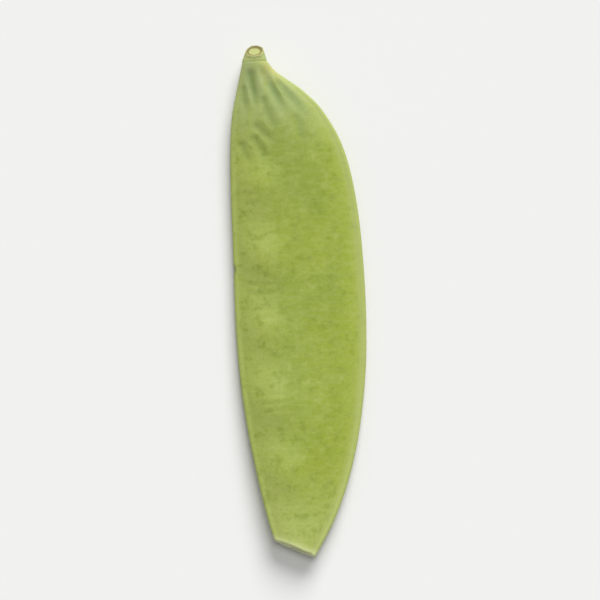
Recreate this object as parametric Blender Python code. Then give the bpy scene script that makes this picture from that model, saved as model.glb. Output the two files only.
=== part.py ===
"""A snow pea pod (mangetout), topped and tailed, lying on its side on a flat surface.

+Y points to the stem end, -X to the nearly straight seam that carries the seeds and +X to
the bulging keel seam. +Z is up. The origin is the middle of the pod's box, on the surface
that it lies on. The pod is one solid: two flat valves that grew together along two ribbed
seams. The cut stub of its flower stalk is a second solid.
"""

import math

import bmesh
import bpy
from mathutils import Matrix, Vector

MM = 0.001

# The plan outline: each seam is a smooth curve through a few points (y, x), in millimetres,
# from the neck down to the pod's natural tip.
NECK_Y = 38.9
TIP_Y = -46.5
SEED_SEAM = [
    (NECK_Y, -6.22), (35.0, -7.3), (30.0, -8.55), (22.0, -9.3), (8.0, -9.78),
    (-5.0, -10.12), (-15.0, -9.78), (-25.0, -8.67), (-36.0, -6.7), (TIP_Y, -3.7),
]
KEEL_SEAM = [
    (NECK_Y, -2.15), (37.2, -0.9), (34.0, 3.1), (30.5, 6.2), (24.5, 9.1), (16.0, 10.7),
    (5.0, 11.22), (-6.0, 10.95), (-15.0, 10.0), (-25.0, 7.9), (-34.0, 4.6), (-41.3, 0.3),
    (TIP_Y, -3.7),
]

# The section across the pod: a flat lens, thickest on the seed side, with a rib at each seam.
VALVE_HALF_THICKNESS = 2.05
VALVE_SEED_SIDE_POWER = 0.7
VALVE_KEEL_SIDE_POWER = 0.85
NECK_HALF_THICKNESS = 1.45
TIP_HALF_THICKNESS = 0.95
NECK_THINNING = 13.0
TIP_THINNING = 30.0
SEED_RIB_RADIUS = 0.6
KEEL_RIB_RADIUS = 0.48
RIB_BLEND_POWER = 4.0
RIB_FALL = 0.1
RIB_GROOVE_DEPTH = 0.1
NECK_ROUNDING = 4.5

# How the pod lies: its ends lift off the surface, its blade is slightly twisted, and its
# underside is pressed flat where it touches.
LIE_HEIGHT = 1.95
END_LIFT = 1.3
END_TWIST = 0.05

# The seeds sit in a row beside the seed seam and swell both valves.
SEED_COUNT = 5
FIRST_SEED_Y = -27.4
SEED_PITCH = 11.6
SEED_INSET = 4.9
SEED_SPREAD_ACROSS = 2.9
SEED_SPREAD_ALONG = 3.5
SEED_RISE = 0.6
SEED_RISE_BELOW = 0.35

# Creases run down from the neck over the shoulders, where the pod was drawn in as it grew.
# Each goes from one point (x, y) of the plan to another and has its own depth. The lower
# valve has them shifted to one side.
CREASES = [
    ((-3.3, 38.5), (0.8, 29.2), 0.36), ((-5.1, 38.2), (-4.2, 30.6), 0.3),
    ((-6.5, 35.8), (-5.8, 29.6), 0.2), ((-1.5, 36.6), (4.4, 28.8), 0.24),
    ((-3.6, 33.8), (-1.2, 26.6), 0.17), ((-5.2, 29.2), (-1.0, 25.0), 0.17),
    ((-7.4, 26.6), (-5.6, 21.4), 0.15), ((-5.3, 27.4), (-3.0, 22.4), 0.17),
    ((1.6, 30.6), (3.4, 24.2), 0.14),
]
CREASE_HALF_WIDTH = 0.75
CREASE_SHIFT_BELOW = 1.2

# Low waves that keep the valves from being perfectly even.
WAVE_HEIGHT = 0.09
WAVE_LENGTHS = (23.0, 9.5)

# The slanting cut that took the tip off, and the slit between the valves that it opened.
CUT_SEED_SIDE = (-6.2, -38.1)
CUT_KEEL_SIDE = (0.3, -41.3)
CUT_FACE_TILT = 18.0
TIP_BLOCK = 30.0
SLIT_HALF_WIDTH = 2.75
SLIT_HALF_OPENING = 0.42
SLIT_DEPTH = 3.6

# The stub of the flower stalk, which goes on from the neck's taper and bends up: (radius,
# length along it) from the pod outwards, over the browned rim and into the sunken cut face.
# It is oval where it meets the neck and round at the cut, which faces up and outwards.
STUB_GAP = 0.3
STUB_LEAN = 6.0
STUB_BEND = 38.0
STUB_CUT_SLANT = 5.0
STUB_FLATTENING = 0.16
STUB_PROFILE = [
    (0.0, 0.0), (1.65, 0.0), (1.72, 0.1), (1.66, 0.35), (1.58, 0.7), (1.52, 1.1),
    (1.48, 1.43), (1.38, 1.57), (1.24, 1.6), (1.05, 1.53), (0.8, 1.4), (0.0, 1.36),
]
STUB_SIDES = 28

# The grid of the pod's skin.
AROUND = 56
ALONG = 96
CAP_SHARE = 0.035
NECK_CROWDING = 0.45


def clear_scene():
    for thing in list(bpy.data.objects):
        bpy.data.objects.remove(thing, do_unlink=True)


def collection(name):
    made = bpy.data.collections.new(name)
    bpy.context.scene.collection.children.link(made)
    return made


def material(name, colour, roughness):
    made = bpy.data.materials.new(name)
    made.use_nodes = True
    shader = made.node_tree.nodes["Principled BSDF"]
    shader.inputs["Base Color"].default_value = (*colour, 1.0)
    shader.inputs["Roughness"].default_value = roughness
    shader.inputs["Metallic"].default_value = 0.0
    return made


def smooth_step(value):
    value = min(max(value, 0.0), 1.0)
    return value * value * (3.0 - 2.0 * value)


def bell(value):
    return math.exp(-value * value)


def on_curve(points, y):
    """x on the smooth curve through (y, x) points, whose y falls from first to last."""
    last = len(points) - 1
    span = max(i for i in range(last) if i == 0 or points[i][0] >= y)

    def slope(i):
        (y0, x0), (y1, x1) = points[max(i - 1, 0)], points[min(i + 1, last)]
        return (x1 - x0) / (y1 - y0)

    (y0, x0), (y1, x1) = points[span], points[span + 1]
    step = y1 - y0
    t = (y - y0) / step
    return (
        (2 * t**3 - 3 * t**2 + 1) * x0 + (t**3 - 2 * t**2 + t) * step * slope(span)
        + (3 * t**2 - 2 * t**3) * x1 + (t**3 - t**2) * step * slope(span + 1)
    )


def valve_half_thickness(y):
    """Half the pod's thickness between the seeds: full in the middle, thinner at both ends."""
    neck = smooth_step((NECK_Y - y) / NECK_THINNING)
    tip = smooth_step((y - TIP_Y) / TIP_THINNING)
    body = NECK_HALF_THICKNESS + (VALVE_HALF_THICKNESS - NECK_HALF_THICKNESS) * neck
    return TIP_HALF_THICKNESS + (body - TIP_HALF_THICKNESS) * tip


def lens(share, y):
    """The valve's curve across the pod, 0 at both seams and 1 at its thickest."""
    round_neck = smooth_step((y - NECK_Y) / NECK_ROUNDING + 1.0)
    a = VALVE_SEED_SIDE_POWER + (0.5 - VALVE_SEED_SIDE_POWER) * round_neck
    b = VALVE_KEEL_SIDE_POWER + (0.5 - VALVE_KEEL_SIDE_POWER) * round_neck
    peak = a / (a + b)
    share = min(max(share, 0.0), 1.0)
    return (share / peak) ** a * ((1.0 - share) / (1.0 - peak)) ** b


def rib(distance, radius):
    """The rounded edge at a seam, which falls a little behind its crest."""
    short = radius - min(distance, radius)
    return math.sqrt(radius**2 - short**2) * (1.0 - RIB_FALL * smooth_step(distance / radius - 1.0))


def half_section(from_seed_seam, width, y):
    """Half the thickness at a distance from the seed seam: a lens edged by two ribs."""
    share = from_seed_seam / width
    radius = SEED_RIB_RADIUS + (KEEL_RIB_RADIUS - SEED_RIB_RADIUS) * share
    from_edge = max(min(from_seed_seam, width - from_seed_seam), 0.0)
    edge = rib(from_edge, min(radius, width / 6.0))
    body = valve_half_thickness(y) * lens(share, y)
    return (body**RIB_BLEND_POWER + edge**RIB_BLEND_POWER) ** (1.0 / RIB_BLEND_POWER)


def seed_places():
    for i in range(SEED_COUNT):
        y = FIRST_SEED_Y + i * SEED_PITCH
        yield on_curve(SEED_SEAM, y) + SEED_INSET, y


def seeds(x, y):
    """1 on the middle of a seed, falling to 0 around it."""
    return max(
        bell(math.hypot((x - sx) / SEED_SPREAD_ACROSS, (y - sy) / SEED_SPREAD_ALONG))
        for sx, sy in seed_places()
    )


def creases(x, y):
    """Depth of the creases at a point of the plan: each fades in and then slowly out."""
    deepest = 0.0
    for (x0, y0), (x1, y1), depth in CREASES:
        run_x, run_y = x1 - x0, y1 - y0
        run = math.hypot(run_x, run_y)
        along = ((x - x0) * run_x + (y - y0) * run_y) / run**2
        aside = ((x - x0) * run_y - (y - y0) * run_x) / run
        fade = smooth_step(5.0 * along) * smooth_step(2.0 - 2.0 * along)
        deepest = max(deepest, depth * fade * bell(aside / CREASE_HALF_WIDTH))
    return deepest


def waves(x, y):
    long_wave, short_wave = (2.0 * math.pi / length for length in WAVE_LENGTHS)
    return 0.6 * math.sin(long_wave * (y + 0.6 * x)) + 0.4 * math.sin(short_wave * (x - 0.5 * y))


def relief(x, y, side):
    """What raises or sinks a valve's skin, upper valve (side 1) or lower valve (side -1)."""
    rise, shift = (SEED_RISE, 0.0) if side > 0 else (SEED_RISE_BELOW, CREASE_SHIFT_BELOW)
    return rise * seeds(x, y) - creases(x + shift, y) + WAVE_HEIGHT * waves(x, side * y)


def middle_height(x, y):
    """Height of the surface half way between the two valves."""
    reach = y / NECK_Y
    return LIE_HEIGHT + END_LIFT * reach**2 + END_TWIST * x * reach


def skin_point(along, around):
    """A point of the pod's skin: along 0 at the neck to 1 at the tip, around in radians."""
    cap = min(along / CAP_SHARE, 1.0)
    shrink = math.sin(cap * math.pi / 2.0)
    t = max(along - CAP_SHARE, 0.0) / (1.0 - CAP_SHARE)
    t = t * (1.0 - NECK_CROWDING * (1.0 - t))
    y = NECK_Y + (TIP_Y - NECK_Y) * t
    left, right = on_curve(SEED_SEAM, y), on_curve(KEEL_SEAM, y)
    width = max(right - left, 1e-3)
    distance = width * (1.0 - math.cos(around)) / 2.0
    x = left + distance
    side = 1.0 if math.sin(around) >= 0.0 else -1.0
    half = half_section(distance, width, y)
    settled = smooth_step((half - SEED_RIB_RADIUS) / 0.5)
    half += settled * relief(x, y, side)
    groove = RIB_GROOVE_DEPTH * bell(half / 0.25) * smooth_step(1.0 - distance)
    centre = (left + right) / 2.0
    x = centre + (x + groove - centre) * shrink
    z = middle_height(x, y) + side * half * shrink
    return Vector((x, y, max(z, 0.0)))


def pod_skin(place):
    """The closed skin of the whole pod, tip and all: a sphere's grid laid on the formulas."""
    mesh = bmesh.new()
    bmesh.ops.create_uvsphere(mesh, u_segments=AROUND, v_segments=ALONG, radius=1.0)
    for vert in mesh.verts:
        along = math.acos(max(-1.0, min(1.0, vert.co.z))) / math.pi
        around = math.atan2(vert.co.y, -vert.co.x)
        vert.co = skin_point(along, around) * MM
    bmesh.ops.recalc_face_normals(mesh, faces=mesh.faces)
    made = object_from(mesh, "pod", place)
    made.data.shade_smooth()
    return made


def object_from(mesh, name, place):
    data = bpy.data.meshes.new(name)
    mesh.to_mesh(data)
    mesh.free()
    made = bpy.data.objects.new(name, data)
    place.objects.link(made)
    return made


def cutter_from(mesh, name, place):
    made = object_from(mesh, name, place)
    made.hide_render = True
    made.display_type = "WIRE"
    return made


def cut_away(target, cutter):
    boolean = target.modifiers.new(cutter.name, "BOOLEAN")
    boolean.operation = "DIFFERENCE"
    boolean.solver = "EXACT"
    boolean.object = cutter


def cut_frame():
    """The cut's own axes in plan: X along the cut and Y out of the pod, from its middle."""
    seed_side, keel_side = Vector((*CUT_SEED_SIDE, 0.0)), Vector((*CUT_KEEL_SIDE, 0.0))
    slant = seed_side - keel_side
    turn = Matrix.Rotation(math.atan2(slant.y, slant.x), 4, "Z")
    return Matrix.Translation((seed_side + keel_side) / 2.0) @ turn


def tip_cutter(place):
    """A block whose one face is the cut: it leans back, so that the cut shows from above."""
    mesh = bmesh.new()
    bmesh.ops.create_cube(mesh, size=TIP_BLOCK)
    bmesh.ops.translate(mesh, vec=(0.0, TIP_BLOCK / 2.0, 0.0), verts=mesh.verts)
    tilt = Matrix.Rotation(math.radians(CUT_FACE_TILT), 4, "X")
    middle = cut_frame().translation
    lift = Matrix.Translation((0.0, 0.0, middle_height(middle.x, middle.y)))
    to_pod = Matrix.Scale(MM, 4) @ cut_frame() @ lift @ tilt
    bmesh.ops.transform(mesh, matrix=to_pod, verts=mesh.verts)
    return cutter_from(mesh, "tip_cutter", place)


def slit_cutter(place):
    """A thin lens that follows the pod's middle plane in from the cut."""
    mesh = bmesh.new()
    bmesh.ops.create_uvsphere(mesh, u_segments=24, v_segments=12, radius=1.0)
    size = (SLIT_HALF_WIDTH, SLIT_DEPTH, SLIT_HALF_OPENING)
    bmesh.ops.scale(mesh, vec=size, verts=mesh.verts)
    bmesh.ops.transform(mesh, matrix=cut_frame(), verts=mesh.verts)
    for vert in mesh.verts:
        vert.co.z += middle_height(vert.co.x, vert.co.y)
    bmesh.ops.scale(mesh, vec=(MM, MM, MM), verts=mesh.verts)
    return cutter_from(mesh, "slit_cutter", place)


def bent(point):
    """A point of the straight, round stub, made oval, slanted, bent up and leaning aside."""
    length = max(height for _, height in STUB_PROFILE)
    share = point.y / length
    x = point.x * (1.0 + STUB_FLATTENING * (1.0 - share))
    z = point.z * (1.0 - STUB_FLATTENING * (1.0 - share))
    along = point.y - share * z * math.tan(math.radians(STUB_CUT_SLANT))
    bend_radius = length / math.radians(STUB_BEND)
    turned = along / bend_radius
    y = (bend_radius - z) * math.sin(turned)
    x += y * math.tan(math.radians(STUB_LEAN))
    return Vector((x, y, bend_radius - (bend_radius - z) * math.cos(turned)))


def stub(place):
    """The cut flower stalk: a turned profile whose browned rim stands round a sunken face."""
    mesh = bmesh.new()
    profile = [mesh.verts.new((radius, height, 0.0)) for radius, height in STUB_PROFILE]
    edges = [mesh.edges.new(pair) for pair in zip(profile, profile[1:])]
    bmesh.ops.spin(
        mesh, geom=profile + edges, cent=(0, 0, 0), axis=(0, 1, 0), angle=2.0 * math.pi,
        steps=STUB_SIDES, use_merge=True,
    )
    bmesh.ops.remove_doubles(mesh, verts=mesh.verts, dist=0.001)
    bmesh.ops.recalc_face_normals(mesh, faces=mesh.faces)
    for vert in mesh.verts:
        vert.co = bent(vert.co) * MM
    centre = (on_curve(SEED_SEAM, NECK_Y) + on_curve(KEEL_SEAM, NECK_Y)) / 2.0
    made = object_from(mesh, "stem_stub", place)
    made.data.shade_smooth()
    height = middle_height(centre, NECK_Y)
    made.location = Vector((centre, NECK_Y + STUB_GAP, height)) * MM
    return made


def to_own_frame(objects):
    """Moves everything so that the origin is the middle of the box, on the surface."""
    bpy.context.view_layer.update()
    seen = bpy.context.evaluated_depsgraph_get()
    corners = []
    for thing in objects:
        shown = thing.evaluated_get(seen)
        corners += [shown.matrix_world @ vert.co for vert in shown.data.vertices]
    low = Vector(min(c[i] for c in corners) for i in range(3))
    high = Vector(max(c[i] for c in corners) for i in range(3))
    shift = Vector(((low.x + high.x) / 2.0, (low.y + high.y) / 2.0, low.z))
    for thing in bpy.data.objects:
        thing.location -= shift


def main():
    clear_scene()
    parts = collection("snow_pea_pod")
    cutters = collection("cutters")
    pod = pod_skin(parts)
    pod.data.materials.append(material("pod_skin", (0.31, 0.40, 0.075), 0.45))
    cut_away(pod, tip_cutter(cutters))
    cut_away(pod, slit_cutter(cutters))
    stalk = stub(parts)
    stalk.data.materials.append(material("stalk", (0.30, 0.25, 0.12), 0.7))
    to_own_frame([pod, stalk])


main()
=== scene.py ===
import math
from functools import cache

import bmesh
import bpy
from mathutils import Matrix, Vector, noise


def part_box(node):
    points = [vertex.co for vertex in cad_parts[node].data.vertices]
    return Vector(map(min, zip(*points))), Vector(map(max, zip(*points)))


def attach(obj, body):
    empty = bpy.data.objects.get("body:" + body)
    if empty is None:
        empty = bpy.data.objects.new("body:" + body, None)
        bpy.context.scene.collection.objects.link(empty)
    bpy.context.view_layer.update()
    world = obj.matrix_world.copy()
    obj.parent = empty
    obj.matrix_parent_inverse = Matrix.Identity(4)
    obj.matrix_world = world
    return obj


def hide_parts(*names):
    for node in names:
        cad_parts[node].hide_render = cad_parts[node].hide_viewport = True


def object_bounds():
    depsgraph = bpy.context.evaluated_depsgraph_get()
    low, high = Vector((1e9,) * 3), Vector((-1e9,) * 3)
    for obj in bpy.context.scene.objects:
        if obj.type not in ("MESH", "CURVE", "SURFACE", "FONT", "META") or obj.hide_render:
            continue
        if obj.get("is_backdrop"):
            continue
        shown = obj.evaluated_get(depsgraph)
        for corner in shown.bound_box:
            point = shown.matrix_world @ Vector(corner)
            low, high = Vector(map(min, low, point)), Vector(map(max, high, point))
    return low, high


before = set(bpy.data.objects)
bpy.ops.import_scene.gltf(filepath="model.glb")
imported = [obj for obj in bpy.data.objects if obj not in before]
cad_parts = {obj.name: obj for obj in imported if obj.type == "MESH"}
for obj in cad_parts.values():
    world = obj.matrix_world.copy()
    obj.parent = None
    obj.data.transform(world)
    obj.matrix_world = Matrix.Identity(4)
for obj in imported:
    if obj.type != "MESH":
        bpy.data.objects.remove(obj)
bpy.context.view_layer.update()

MM = 0.001


# The pod: two flat green valves that grew together along two ribbed seams, here one skin
# from the neck down to the trimmed end, where it turns in over the cut walls and on into
# the slit between the valves. Sizes are in millimetres and repeat the frame's own outline.

# Each seam in plan is a smooth curve through points (y, x), from the neck to the natural tip.
NECK_Y = 38.9
TIP_Y = -46.5
SEED_SEAM = [
    (NECK_Y, -6.22), (35.0, -7.3), (30.0, -8.55), (22.0, -9.3), (8.0, -9.78),
    (-5.0, -10.12), (-15.0, -9.78), (-25.0, -8.67), (-36.0, -6.7), (TIP_Y, -3.7),
]
KEEL_SEAM = [
    (NECK_Y, -2.15), (37.2, -0.9), (34.0, 3.1), (30.5, 6.2), (24.5, 9.1), (16.0, 10.7),
    (5.0, 11.22), (-6.0, 10.95), (-15.0, 10.0), (-25.0, 7.9), (-34.0, 4.6), (-41.3, 0.3),
    (TIP_Y, -3.7),
]

# The section across the pod: a flat lens, thickest on the seed side, with a rib at each seam.
VALVE_HALF_THICKNESS = 2.05
VALVE_SEED_SIDE_POWER = 0.7
VALVE_KEEL_SIDE_POWER = 0.85
NECK_HALF_THICKNESS = 1.45
TIP_HALF_THICKNESS = 0.95
NECK_THINNING = 13.0
TIP_THINNING = 30.0
SEED_RIB_RADIUS = 0.6
KEEL_RIB_RADIUS = 0.48
RIB_BLEND_POWER = 4.0
RIB_FALL = 0.1
RIB_GROOVE_DEPTH = 0.1
RIB_GROOVE_HALF_WIDTH = 0.25
RELIEF_FADE = 0.5
NECK_ROUNDING = 4.5
NECK_RIM_PINCH = 0.01
NECK_RIM_LENGTH = 0.3

# How the pod lies: its ends lift off the surface, and its blade is slightly twisted.
LIE_HEIGHT = 1.95
END_LIFT = 1.3
END_TWIST = 0.05

# The seeds sit in a row beside the seed seam and swell both valves.
SEED_COUNT = 5
FIRST_SEED_Y = -27.4
SEED_PITCH = 11.6
SEED_INSET = 4.9
SEED_SPREAD_ACROSS = 2.9
SEED_SPREAD_ALONG = 3.5
SEED_RISE = 0.6
SEED_RISE_BELOW = 0.35

# Creases run down from the neck, and far finer wrinkles lie between the seeds. Each goes
# from one point (x, y) of the plan to another and has its own depth.
CREASES = [
    ((-3.3, 38.5), (0.8, 29.2), 0.36), ((-5.1, 38.2), (-4.2, 30.6), 0.3),
    ((-6.5, 35.8), (-5.8, 29.6), 0.2), ((-1.5, 36.6), (4.4, 28.8), 0.24),
    ((-3.6, 33.8), (-1.2, 26.6), 0.17), ((-5.2, 29.2), (-1.0, 25.0), 0.17),
    ((-7.4, 26.6), (-5.6, 21.4), 0.15), ((-5.3, 27.4), (-3.0, 22.4), 0.17),
    ((1.6, 30.6), (3.4, 24.2), 0.14),
]
CREASE_HALF_WIDTH = 0.75
CREASE_SHIFT_BELOW = 1.2

WRINKLES = [
    ((-7.8, -14.6), (0.6, -15.1), 0.05), ((-7.0, -16.4), (-1.6, -16.0), 0.05),
    ((-7.2, -17.6), (0.4, -16.9), 0.04), ((-7.6, -1.2), (-2.6, -1.0), 0.05),
    ((-7.4, -2.6), (-3.4, -2.3), 0.04), ((-8.6, 3.1), (-1.6, 2.8), 0.05),
    ((-8.0, 1.6), (-2.6, 1.2), 0.04), ((-8.0, 17.8), (-3.4, 17.4), 0.05),
    ((-7.6, 15.9), (-4.0, 16.3), 0.04), ((-1.0, 20.6), (0.4, 16.8), 0.04),
    ((1.2, 22.4), (2.2, 18.4), 0.04), ((-2.2, 25.8), (-2.9, 21.4), 0.05),
]
WRINKLE_HALF_WIDTH = 0.4

# Low waves that keep the valves from being perfectly even.
WAVE_HEIGHT = 0.09
WAVE_LENGTHS = (23.0, 9.5)

# The slanting, slightly ragged cut that took the tip off, and the slit that it opened.
CUT_SEED_SIDE = (-6.2, -38.1)
CUT_KEEL_SIDE = (0.3, -41.3)
CUT_FACE_TILT = 18.0
CUT_RAGGEDNESS = 0.12
CUT_RAG_FREQUENCY = 2.3
CUT_RAG_SEED = 7.0
WALL_AT_SEAMS = 0.95
SLIT_HALF_OPENING = 0.38
SLIT_ROUNDNESS = 0.6
SLIT_DEPTH = 5.0

# Marks of growth and handling, a nick in the seed seam and a yellowed spot on the shoulder, and
# how far a painted reflection reaches from the neck and the paler skin from the cut.
NICK_Y = 5.7
NICK_LENGTH = 0.6
NICK_DEPTH = 0.12
NICK_BREADTH = 0.45
YELLOWED = (-1.4, 37.4)
YELLOWED_RADIUS = 1.7
PALE_NECK_LENGTH = 17.0
PALE_CUT_END_LENGTH = 12.0

# The grid of the skin, and where along it the neck's cap, the outer skin and the cut wall end.
# The pale lip's breadth is a share of that length, and the flesh's fade a share of the wall.
AROUND = 232
ALONG = 404
CAP_SHARE = 0.012
SKIN_SHARE = 0.93
WALL_SHARE = 0.955
NECK_CROWDING = 0.3
LIP_BREADTH = 0.006
FLESH_FADE = 0.3


def smooth_step(value):
    value = min(max(value, 0.0), 1.0)
    return value * value * (3.0 - 2.0 * value)


def bell(value):
    return math.exp(-value * value)


def on_curve(points, y):
    """x on the smooth curve through (y, x) points, whose y falls from first to last."""
    last = len(points) - 1
    span = max(i for i in range(last) if i == 0 or points[i][0] >= y)

    def slope(i):
        (y0, x0), (y1, x1) = points[max(i - 1, 0)], points[min(i + 1, last)]
        return (x1 - x0) / (y1 - y0)

    (y0, x0), (y1, x1) = points[span], points[span + 1]
    step = y1 - y0
    t = (y - y0) / step
    return (
        (2 * t**3 - 3 * t**2 + 1) * x0 + (t**3 - 2 * t**2 + t) * step * slope(span)
        + (3 * t**2 - 2 * t**3) * x1 + (t**3 - t**2) * step * slope(span + 1)
    )


def valve_half_thickness(y):
    """Half the pod's thickness between the seeds: full in the middle, thinner at both ends."""
    neck = smooth_step((NECK_Y - y) / NECK_THINNING)
    tip = smooth_step((y - TIP_Y) / TIP_THINNING)
    body = NECK_HALF_THICKNESS + (VALVE_HALF_THICKNESS - NECK_HALF_THICKNESS) * neck
    return TIP_HALF_THICKNESS + (body - TIP_HALF_THICKNESS) * tip


def lens(share, y):
    """The valve's curve across the pod, 0 at both seams and 1 at its thickest."""
    round_neck = smooth_step((y - NECK_Y) / NECK_ROUNDING + 1.0)
    a = VALVE_SEED_SIDE_POWER + (0.5 - VALVE_SEED_SIDE_POWER) * round_neck
    b = VALVE_KEEL_SIDE_POWER + (0.5 - VALVE_KEEL_SIDE_POWER) * round_neck
    peak = a / (a + b)
    share = min(max(share, 0.0), 1.0)
    return (share / peak) ** a * ((1.0 - share) / (1.0 - peak)) ** b


def rib(distance, radius):
    """The rounded edge at a seam, which falls a little behind its crest."""
    short = radius - min(distance, radius)
    return math.sqrt(radius**2 - short**2) * (1.0 - RIB_FALL * smooth_step(distance / radius - 1.0))


def half_section(from_seed_seam, width, y):
    """Half the thickness at a distance from the seed seam: a lens edged by two ribs."""
    share = from_seed_seam / width
    radius = SEED_RIB_RADIUS + (KEEL_RIB_RADIUS - SEED_RIB_RADIUS) * share
    from_edge = max(min(from_seed_seam, width - from_seed_seam), 0.0)
    edge = rib(from_edge, min(radius, width / 6.0))
    body = valve_half_thickness(y) * lens(share, y)
    return (body**RIB_BLEND_POWER + edge**RIB_BLEND_POWER) ** (1.0 / RIB_BLEND_POWER)


seed_places = [
    (on_curve(SEED_SEAM, FIRST_SEED_Y + i * SEED_PITCH) + SEED_INSET, FIRST_SEED_Y + i * SEED_PITCH)
    for i in range(SEED_COUNT)
]


def seeds(x, y):
    """1 on the middle of a seed, falling to 0 around it."""
    return max(
        bell(math.hypot((x - sx) / SEED_SPREAD_ACROSS, (y - sy) / SEED_SPREAD_ALONG))
        for sx, sy in seed_places
    )


def furrows(x, y, lines, half_width):
    """Depth of the deepest furrow at a point of the plan: each fades out at both its ends."""
    deepest = 0.0
    for (x0, y0), (x1, y1), depth in lines:
        run_x, run_y = x1 - x0, y1 - y0
        run = math.hypot(run_x, run_y)
        along = ((x - x0) * run_x + (y - y0) * run_y) / run**2
        if 0.0 < along < 1.0:
            aside = ((x - x0) * run_y - (y - y0) * run_x) / run
            fade = smooth_step(5.0 * along) * smooth_step(2.0 - 2.0 * along)
            deepest = max(deepest, depth * fade * bell(aside / half_width))
    return deepest


def waves(x, y):
    long_wave, short_wave = (2.0 * math.pi / length for length in WAVE_LENGTHS)
    return 0.6 * math.sin(long_wave * (y + 0.6 * x)) + 0.4 * math.sin(short_wave * (x - 0.5 * y))


def relief(x, y, side):
    """What raises or sinks a valve's skin, upper valve (side 1) or lower valve (side -1)."""
    rise, shift = (SEED_RISE, 0.0) if side > 0 else (SEED_RISE_BELOW, CREASE_SHIFT_BELOW)
    sunk = furrows(x + shift, y, CREASES, CREASE_HALF_WIDTH)
    sunk += furrows(x + shift, y - shift, WRINKLES, WRINKLE_HALF_WIDTH)
    return rise * seeds(x, y) - sunk + WAVE_HEIGHT * waves(x, side * y)


def middle_height(x, y):
    """Height of the surface half way between the two valves."""
    reach = y / NECK_Y
    return LIE_HEIGHT + END_LIFT * reach**2 + END_TWIST * x * reach


def outside(y, around):
    """The outer skin at one place along and around: x, middle height, half thickness, side."""
    left, right = on_curve(SEED_SEAM, y), on_curve(KEEL_SEAM, y)
    width = max(right - left, 1e-3)
    distance = width * (1.0 - math.cos(around)) / 2.0
    x = left + distance
    side = 1.0 if math.sin(around) >= 0.0 else -1.0
    half = half_section(distance, width, y)
    settled = smooth_step((half - SEED_RIB_RADIUS) / RELIEF_FADE)
    half += settled * relief(x, y, side)
    at_seed_seam = smooth_step(1.0 - distance)
    groove = RIB_GROOVE_DEPTH * bell(half / RIB_GROOVE_HALF_WIDTH) * at_seed_seam
    nick = NICK_DEPTH * bell((y - NICK_Y) / NICK_LENGTH) * at_seed_seam
    return x + groove + nick, middle_height(x, y), half, side


def cut_line(x):
    """y of the cut in plan at the middle of the pod's thickness."""
    (x0, y0), (x1, y1) = CUT_SEED_SIDE, CUT_KEEL_SIDE
    return y0 + (y1 - y0) * (x - x0) / (x1 - x0)


@cache
def skin_end(around):
    """y at which the skin ends on the cut, for one line of the skin along the pod."""
    y = (CUT_SEED_SIDE[1] + CUT_KEEL_SIDE[1]) / 2.0
    for _ in range(12):
        x, _, half, side = outside(y, around)
        lean = side * half * math.tan(math.radians(CUT_FACE_TILT))
        y = 0.5 * y + 0.5 * (cut_line(x) + lean)
    turn = CUT_RAG_FREQUENCY * math.cos(around), CUT_RAG_FREQUENCY * math.sin(around)
    return y + CUT_RAGGEDNESS * noise.noise(Vector((*turn, CUT_RAG_SEED)))


def skin_point(along, around):
    """A point of the outer skin: along 0 at the neck to SKIN_SHARE at the cut."""
    cap = min(along / CAP_SHARE, 1.0)
    t = min(max(along - CAP_SHARE, 0.0) / (SKIN_SHARE - CAP_SHARE), 1.0)
    t = t * (1.0 - NECK_CROWDING * (1.0 - t))
    y = NECK_Y + (skin_end(around) - NECK_Y) * t
    pinch = NECK_RIM_PINCH * bell((NECK_Y - y) / NECK_RIM_LENGTH)
    shrink = math.sin(cap * math.pi / 2.0) * (1.0 - pinch)
    left, right = on_curve(SEED_SEAM, y), on_curve(KEEL_SEAM, y)
    x, middle, half, side = outside(y, around)
    centre = (left + right) / 2.0
    return Vector((centre + (x - centre) * shrink, y, middle + side * half * shrink))


def slit_point(depth, around):
    """The inner skin of the slit, depth 0 at the lips to 1 at its end."""
    y = skin_end(around)
    left, right = on_curve(SEED_SEAM, y), on_curve(KEEL_SEAM, y)
    share = (1.0 - math.cos(around)) / 2.0
    narrow = math.sqrt(max(1.0 - depth**2, 0.0))
    inner_width = (right - left - 2.0 * WALL_AT_SEAMS) * narrow
    x = (left + right) / 2.0 + inner_width * (share - 0.5)
    opening = SLIT_HALF_OPENING * (4.0 * share * (1.0 - share)) ** SLIT_ROUNDNESS * narrow
    side = 1.0 if math.sin(around) >= 0.0 else -1.0
    y = cut_line(x) + side * opening * math.tan(math.radians(CUT_FACE_TILT)) + SLIT_DEPTH * depth
    return Vector((x, y, middle_height(x, y) + side * opening))


def pod_point(along, around):
    """A point of the whole surface: the outer skin, the cut wall and then the slit."""
    if along <= SKIN_SHARE:
        return skin_point(along, around)
    if along <= WALL_SHARE:
        across = (along - SKIN_SHARE) / (WALL_SHARE - SKIN_SHARE)
        return skin_point(SKIN_SHARE, around).lerp(slit_point(0.0, around), across)
    return slit_point((along - WALL_SHARE) / (1.0 - WALL_SHARE), around)


def seam_line(distance, strength, breadth, fade):
    """The paler skin along a seam: even over its breadth and then fading."""
    return strength * bell(max(distance - breadth, 0.0) / fade)


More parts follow.
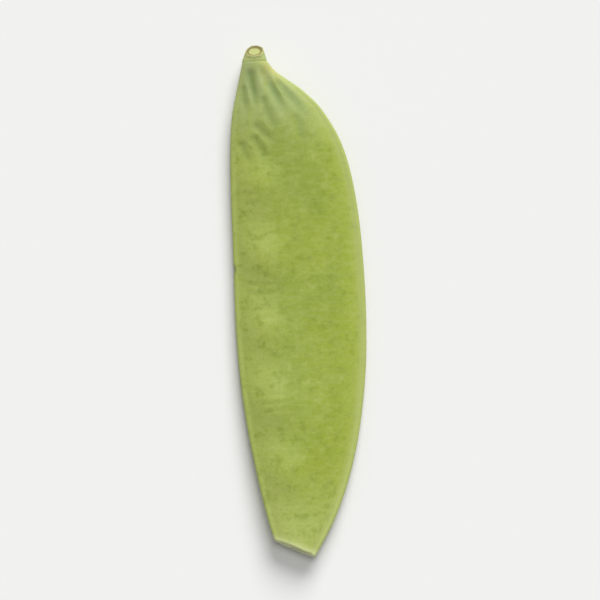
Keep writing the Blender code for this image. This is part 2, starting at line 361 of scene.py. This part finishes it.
def pod_marks(place, along):
    """How much of each feature a point of the pod shows, for its finish to read."""
    left, right = on_curve(SEED_SEAM, place.y), on_curve(KEEL_SEAM, place.y)
    from_seed_seam, from_keel_seam = place.x - left, right - place.x
    wall = WALL_SHARE - SKIN_SHARE
    return {
        "across": from_seed_seam / max(right - left, 1e-3),
        "seam": max(
            seam_line(from_seed_seam, strength=0.35, breadth=0.3, fade=0.6),
            seam_line(from_keel_seam, strength=0.75, breadth=0.5, fade=0.9),
        ),
        "seed": seeds(place.x, place.y),
        "painted_crease_shade": furrows(place.x, place.y, CREASES, 0.8 * CREASE_HALF_WIDTH) * 3.0,
        "neck": smooth_step((place.y - NECK_Y) / PALE_NECK_LENGTH + 1.0),
        "yellowed": bell(math.dist(place.xy, YELLOWED) / YELLOWED_RADIUS),
        "cut_end": smooth_step((CUT_SEED_SIDE[1] - place.y) / PALE_CUT_END_LENGTH + 1.0),
        "lip": bell(max(SKIN_SHARE - along, 0.0) / LIP_BREADTH),
        "flesh": smooth_step((along - SKIN_SHARE) / (FLESH_FADE * wall)),
        "nick": bell((place.y - NICK_Y) / NICK_LENGTH) * bell(from_seed_seam / NICK_BREADTH),
    }


skin = bmesh.new()
bmesh.ops.create_uvsphere(skin, u_segments=AROUND, v_segments=ALONG, radius=1.0)
POD_MARKS = (
    "across", "seam", "seed", "painted_crease_shade", "neck", "yellowed", "cut_end", "lip", "flesh", "nick",
)
mark_layers = {name: skin.verts.layers.float.new(name) for name in POD_MARKS}
for vert in skin.verts:
    along = math.acos(max(-1.0, min(1.0, vert.co.z))) / math.pi
    place = pod_point(along, round(math.atan2(vert.co.y, -vert.co.x), 5))
    for name, value in pod_marks(place, along).items():
        vert[mark_layers[name]] = value
    vert.co = (place.x, place.y, max(place.z, 0.0))
widest = max(vert.co.x for vert in skin.verts)
_, cad_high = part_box("pod")
TO_FRAME = Matrix.Translation((cad_high[0] - widest * MM, cad_high[1] - NECK_Y * MM, 0.0))
TO_FRAME = TO_FRAME @ Matrix.Scale(MM, 4)
bmesh.ops.transform(skin, matrix=TO_FRAME, verts=skin.verts)
bmesh.ops.recalc_face_normals(skin, faces=skin.faces)


def piece_from(shape, name):
    """An object of a finished bmesh, shaded smooth."""
    mesh = bpy.data.meshes.new(name)
    shape.to_mesh(mesh)
    shape.free()
    mesh.shade_smooth()
    piece = bpy.data.objects.new(name, mesh)
    bpy.context.scene.collection.objects.link(piece)
    return piece


pod = piece_from(skin, "pod_body")


class Varying:
    """A number that varies over a surface: arithmetic on it adds Math nodes."""

    def __init__(self, finish, socket):
        self.finish = finish
        self.socket = socket

    def combine(self, operation, first, second):
        made = self.finish.node("ShaderNodeMath", {"operation": operation}, {0: first, 1: second})
        return Varying(self.finish, made.outputs[0])

    def __add__(self, other):
        return self.combine("ADD", self, other)

    def __sub__(self, other):
        return self.combine("SUBTRACT", self, other)

    def __rsub__(self, other):
        return self.combine("SUBTRACT", other, self)

    def __mul__(self, other):
        return self.combine("MULTIPLY", self, other)

    __radd__ = __add__
    __rmul__ = __mul__


class Finish:
    """A material: its Principled BSDF and the nodes that vary it over the surface."""

    def __init__(self, name, uniform):
        self.material = bpy.data.materials.new(name)
        self.material.use_nodes = True
        self.tree = self.material.node_tree
        self.shader = self.tree.nodes["Principled BSDF"]
        for socket, value in uniform.items():
            self.shader.inputs[socket].default_value = value

    def node(self, kind, settings, sockets):
        """A new node: first its settings, then a value or a link for each socket named."""
        made = self.tree.nodes.new(kind)
        for setting, value in settings.items():
            setattr(made, setting, value)
        for socket, value in sockets.items():
            self.feed(made.inputs[socket], value)
        return made

    def feed(self, socket, value):
        value = getattr(value, "socket", value)
        if isinstance(value, bpy.types.NodeSocket):
            self.tree.links.new(value, socket)
        else:
            socket.default_value = value

    def shade(self, socket, value):
        self.feed(self.shader.inputs[socket], value)

    def mark(self, name):
        made = self.node("ShaderNodeAttribute", {"attribute_name": name}, {})
        return Varying(self, made.outputs["Fac"])

    def place(self, turn=(0.0, 0.0, 0.0), scale=(1.0, 1.0, 1.0)):
        """Object coordinates in millimetres, turned and then stretched."""
        where = self.node("ShaderNodeTexCoord", {}, {}).outputs["Object"]
        grown = [value / MM for value in scale]
        sockets = {"Vector": where, "Rotation": turn, "Scale": grown}
        return self.node("ShaderNodeMapping", {}, sockets).outputs[0]

    def cloud(self, where, scale, detail=3.0, roughness=0.55):
        """Soft noise, about -1 to 1, with lumps about 1 / scale millimetres across."""
        sockets = {"Vector": where, "Scale": scale, "Detail": detail, "Roughness": roughness}
        made = self.node("ShaderNodeTexNoise", {}, sockets)
        return Varying(self, made.outputs["Fac"]) * 4.0 - 2.0

    def cells(self, where, scale, feature):
        """Distance to the nearest cell's middle (F1) or edge (DISTANCE_TO_EDGE)."""
        sockets = {"Vector": where, "Scale": scale}
        made = self.node("ShaderNodeTexVoronoi", {"feature": feature}, sockets)
        return Varying(self, made.outputs["Distance"])

    def ramp(self, value, low, high):
        """0 where the value is below low, 1 where it is above high, smooth between."""
        settings = {"interpolation_type": "SMOOTHSTEP"}
        made = self.node("ShaderNodeMapRange", settings, {0: value, 1: low, 2: high})
        return Varying(self, made.outputs[0])

    def tint(self, colour, other, share):
        """A colour with a share, 0 to 1, of another mixed in."""
        made = self.node("ShaderNodeMix", {"data_type": "RGBA"}, {0: share, 6: colour, 7: other})
        return made.outputs[2]

    def bump(self, height, distance):
        made = self.node("ShaderNodeBump", {}, {"Height": height, "Distance": distance})
        return made.outputs[0]


def shade(red, green, blue):
    """A colour given as screen values from 0 to 255, in the linear values of a shader."""
    return (*((value / 255.0) ** 2.2 for value in (red, green, blue)), 1.0)


skin_finish = Finish("pod_skin", {
    "IOR": 1.42, "Specular IOR Level": 0.32, "Subsurface Weight": 0.12,
    "Subsurface Radius": (0.7, 1.0, 0.25), "Subsurface Scale": 1.2 * MM,
})
# Patterns on the skin, from broad drifts of colour to grain, pores and a faint net of veins.
flat = skin_finish.place()
drift = skin_finish.cloud(flat, 0.12)
mottle = skin_finish.cloud(flat, 0.65, detail=3.0, roughness=0.6)
streak = skin_finish.cloud(skin_finish.place(scale=(1.0, 0.35, 1.0)), 0.7)
grain = skin_finish.cloud(flat, 2.0, detail=3.0, roughness=0.65)
across, seam, seed, painted_crease_shade, neck, yellowed, cut_end, lip, flesh, nick = map(
    skin_finish.mark, POD_MARKS
)
pores = 1.0 - skin_finish.ramp(skin_finish.cells(flat, 1.5, "F1") + grain * 0.08, 0.05, 0.4)
veins = 1.0 - skin_finish.ramp(
    skin_finish.cells(
        skin_finish.place(turn=(0.0, 0.0, math.radians(-38.0)), scale=(0.32, 1.0, 0.6)),
        0.75, "DISTANCE_TO_EDGE",
    ) + mottle * 0.03,
    0.0, 0.2,
)

# Its colours, each laid over those before it: broad areas and painted light, mottling, grain, marks
# with painted shade and a painted reflection, and the cut.
colour = skin_finish.tint(
    shade(141, 159, 68), shade(150, 165, 60), skin_finish.ramp(drift, -1.0, 1.0)
)
for other, share in (
    # Painted light: the keel side is painted paler, as where the valve slopes towards the lamps.
    (shade(161, 176, 70), skin_finish.ramp(across, 0.72, 0.95) * 0.7),
    # Painted highlight: the seed side is painted paler, for the glints on the seed swellings.
    (shade(169, 181, 97), (1.0 - skin_finish.ramp(across, 0.18, 0.42)) * 0.55),
    (shade(162, 176, 60), skin_finish.ramp(seed + mottle * 0.15, 0.3, 1.0) * 0.2),
    # Painted highlight: a pale ring round each seed, where light catches its swelling.
    (shade(170, 181, 98), seed * (1.0 - seed) * 0.5),
    (shade(174, 186, 104), cut_end * 0.7),
    (shade(129, 147, 56), skin_finish.ramp(mottle, 0.0, 0.9) * 0.7),
    (shade(168, 180, 95), skin_finish.ramp(mottle * -1.0, 0.1, 1.0) * 0.6),
    (shade(128, 146, 54), skin_finish.ramp(grain, 0.0, 1.1) * 0.45),
    (shade(171, 183, 99), skin_finish.ramp(grain * -1.0, 0.1, 1.1) * 0.4),
    (shade(174, 184, 110), veins * 0.15),
    (shade(126, 145, 56), pores * 0.14),
    # Painted reflection: pale grey streaks of sheen over the neck.
    (shade(164, 177, 126), neck * skin_finish.ramp(streak, -1.8, 0.4) * 0.75),
    # Painted shade: the neck's creases are darkened where shade falls in them.
    (shade(108, 131, 70), painted_crease_shade * 0.65),
    (shade(175, 186, 110), seam),
    (shade(188, 184, 112), yellowed * skin_finish.ramp(mottle, -1.6, 0.4) * 0.8),
    (shade(206, 214, 152), lip * 0.8),
    (shade(84, 84, 46), nick),
    (shade(216, 220, 168), flesh),
):
    colour = skin_finish.tint(colour, other, share)
skin_finish.shade("Base Color", colour)
skin_finish.shade("Roughness", 0.48 + mottle * 0.05 + grain * 0.04 + flesh * 0.12)
pebbled = grain * 0.25 + mottle * 0.5 + veins * 0.15
skin_finish.shade("Normal", skin_finish.bump(pebbled, 0.025 * MM))
pod.data.materials.append(skin_finish.material)
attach(pod, "root")
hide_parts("pod")


# The stub of the flower stalk, which the pod hung from. It was snapped off short above the
# pod: an olive stem that bends up, with a ring dried brown round the small, pale pith.

# It is turned from a profile, (radius, length along it), from the root inside the neck over
# the rim and into the sunken cut. It is oval at the neck and round at the cut.
STUB_GAP = 0.3
STUB_LEAN = 6.0
STUB_BEND = 38.0
STUB_CUT_SLANT = 5.0
STUB_FLATTENING = 0.16
STUB_LENGTH = 1.6
STUB_PROFILE = [
    (0.0, -0.6), (1.3, -0.6), (1.6, -0.5), (1.68, -0.25), (1.7, 0.1), (1.65, 0.4),
    (1.58, 0.8), (1.53, 1.15), (1.48, 1.43), (1.39, 1.56), (1.26, STUB_LENGTH), (1.12, 1.57),
    (0.98, 1.48), (0.82, 1.4), (0.6, 1.37), (0.3, 1.39), (0.0, 1.4),
]
STUB_SIDES = 44
STUB_CUT_FROM = 0.85
STUB_CUT_FADE = 0.1
STUB_RING_RADIUS = 0.92
STUB_RING_BREADTH = 0.54
STUB_PITH_RADIUS = 0.68
STUB_PITH_FADE = 0.4
STUB_RIDGE_HEIGHT = 0.04


def bent(point):
    """A point of the straight, round stub, made oval, slanted, bent up and leaning aside."""
    share = point.y / STUB_LENGTH
    x = point.x * (1.0 + STUB_FLATTENING * (1.0 - share))
    z = point.z * (1.0 - STUB_FLATTENING * (1.0 - share))
    along = point.y - share * z * math.tan(math.radians(STUB_CUT_SLANT))
    bend_radius = STUB_LENGTH / math.radians(STUB_BEND)
    turned = max(along, 0.0) / bend_radius
    y = (bend_radius - z) * math.sin(turned) + min(along, 0.0)
    x += y * math.tan(math.radians(STUB_LEAN))
    return Vector((x, y, bend_radius - (bend_radius - z) * math.cos(turned)))


stalk = bmesh.new()
profile = [stalk.verts.new((radius, height, 0.0)) for radius, height in STUB_PROFILE]
edges = [stalk.edges.new(pair) for pair in zip(profile, profile[1:])]
bmesh.ops.spin(
    stalk, geom=profile + edges, cent=(0, 0, 0), axis=(0, 1, 0), angle=2.0 * math.pi,
    steps=STUB_SIDES, use_merge=True,
)
bmesh.ops.remove_doubles(stalk, verts=stalk.verts, dist=0.001)
STUB_MARKS = ("rise", "ring", "pith")
mark_layers = {name: stalk.verts.layers.float.new(name) for name in STUB_MARKS}
neck_centre = (SEED_SEAM[0][1] + KEEL_SEAM[0][1]) / 2.0
neck_end = Vector((neck_centre, NECK_Y + STUB_GAP, middle_height(neck_centre, NECK_Y)))
for vert in stalk.verts:
    radius = math.hypot(vert.co.x, vert.co.z)
    rise = vert.co.y / STUB_LENGTH
    at_cut = smooth_step((rise - STUB_CUT_FROM) / STUB_CUT_FADE)
    vert[mark_layers["rise"]] = rise
    vert[mark_layers["ring"]] = at_cut * bell((radius - STUB_RING_RADIUS) / STUB_RING_BREADTH)
    vert[mark_layers["pith"]] = at_cut * smooth_step((STUB_PITH_RADIUS - radius) / STUB_PITH_FADE)
    ridges = noise.noise(Vector((2.2 * vert.co.x, 0.5 * vert.co.y, 2.2 * vert.co.z)))
    vert.co *= 1.0 + STUB_RIDGE_HEIGHT * ridges * smooth_step(radius)
    vert.co = neck_end + bent(vert.co)
bmesh.ops.transform(stalk, matrix=TO_FRAME, verts=stalk.verts)
bmesh.ops.recalc_face_normals(stalk, faces=stalk.faces)
stub = piece_from(stalk, "stem_stub_body")
smoothing = stub.modifiers.new("smoothing", "SUBSURF")
smoothing.levels = smoothing.render_levels = 2

stub_finish = Finish("stalk", {
    "IOR": 1.45, "Subsurface Weight": 0.06, "Subsurface Scale": 0.6 * MM,
})
flat = stub_finish.place()
fibres = stub_finish.cloud(stub_finish.place(scale=(1.0, 0.22, 1.0)), 3.4, detail=4.0)
blotches = stub_finish.cloud(flat, 1.1)
grain = stub_finish.cloud(flat, 6.0, detail=3.0)
rise, ring, pith = map(stub_finish.mark, STUB_MARKS)
colour = stub_finish.tint(
    shade(176, 188, 116), shade(174, 178, 112), stub_finish.ramp(rise + blotches * 0.15, 0.1, 1.0)
)
for other, share in (
    (shade(140, 150, 80), stub_finish.ramp(fibres, 0.1, 1.4) * 0.4),
    (shade(190, 196, 132), stub_finish.ramp(fibres * -1.0, 0.2, 1.5) * 0.35),
    (shade(112, 98, 54), stub_finish.ramp(ring + blotches * 0.15, 0.25, 0.95) * 0.85),
    (shade(166, 170, 124), pith * 0.8),
    (shade(150, 134, 88), pith * stub_finish.ramp(grain + blotches, 0.5, 2.0) * 0.5),
):
    colour = stub_finish.tint(colour, other, share)
stub_finish.shade("Base Color", colour)
stub_finish.shade("Roughness", 0.62 + blotches * 0.06 + grain * 0.04)
stub_finish.shade("Normal", stub_finish.bump(fibres * 0.6 + grain * 0.4, 0.02 * MM))
stub.data.materials.append(stub_finish.material)
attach(stub, "root")
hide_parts("stem_stub")


# The surface that the pod lies on, the studio lamps and the camera, which looks straight
# down on the pod with its stem end up and leaning a little to the left.

SURFACE_SIZE = 3.0
bpy.ops.mesh.primitive_plane_add(size=SURFACE_SIZE)
surface = bpy.context.object
surface.name = "surface"
surface_finish = Finish("matt_white", {
    "Base Color": (0.85, 0.85, 0.84, 1.0), "Roughness": 0.9, "Specular IOR Level": 0.0,
})
surface.data.materials.append(surface_finish.material)
surface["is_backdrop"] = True

CAMERA_ROLL = -3.8
CAMERA_HEIGHT = 0.6
POD_SHARE_OF_VIEW = 0.86
SENSOR_WIDTH = 36.0
low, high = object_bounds()
camera_data = bpy.data.cameras.new("camera")
camera_data.sensor_width = SENSOR_WIDTH
view_height = (high[1] - low[1]) / POD_SHARE_OF_VIEW
camera_data.lens = SENSOR_WIDTH * (CAMERA_HEIGHT - high[2]) / view_height
camera_data.clip_start = 0.01
camera = bpy.data.objects.new("camera", camera_data)
camera.location = (0.0, 0.0, CAMERA_HEIGHT)
camera.rotation_euler = (0.0, 0.0, math.radians(CAMERA_ROLL))
bpy.context.scene.collection.objects.link(camera)
bpy.context.scene.camera = camera


def lamp(name, place, width, strength):
    """A far, wide lamp that faces the pod: its width is an angle in degrees."""
    data = bpy.data.lights.new(name, "SUN")
    data.angle = math.radians(width)
    data.energy = strength
    made = bpy.data.objects.new(name, data)
    made.location = place
    made.rotation_euler = (-Vector(place)).to_track_quat("-Z", "Y").to_euler()
    bpy.context.scene.collection.objects.link(made)


lamp("key", (0.2, 0.62, 0.48), width=34.0, strength=2.95)
lamp("top", (0.05, 0.3, 1.0), width=20.0, strength=0.7)
world = bpy.data.worlds.new("studio")
world.use_nodes = True
background = world.node_tree.nodes["Background"]
background.inputs["Color"].default_value = (1.0, 1.0, 1.0, 1.0)
background.inputs["Strength"].default_value = 0.27
bpy.context.scene.world = world
bpy.context.scene.view_settings.view_transform = "Standard"
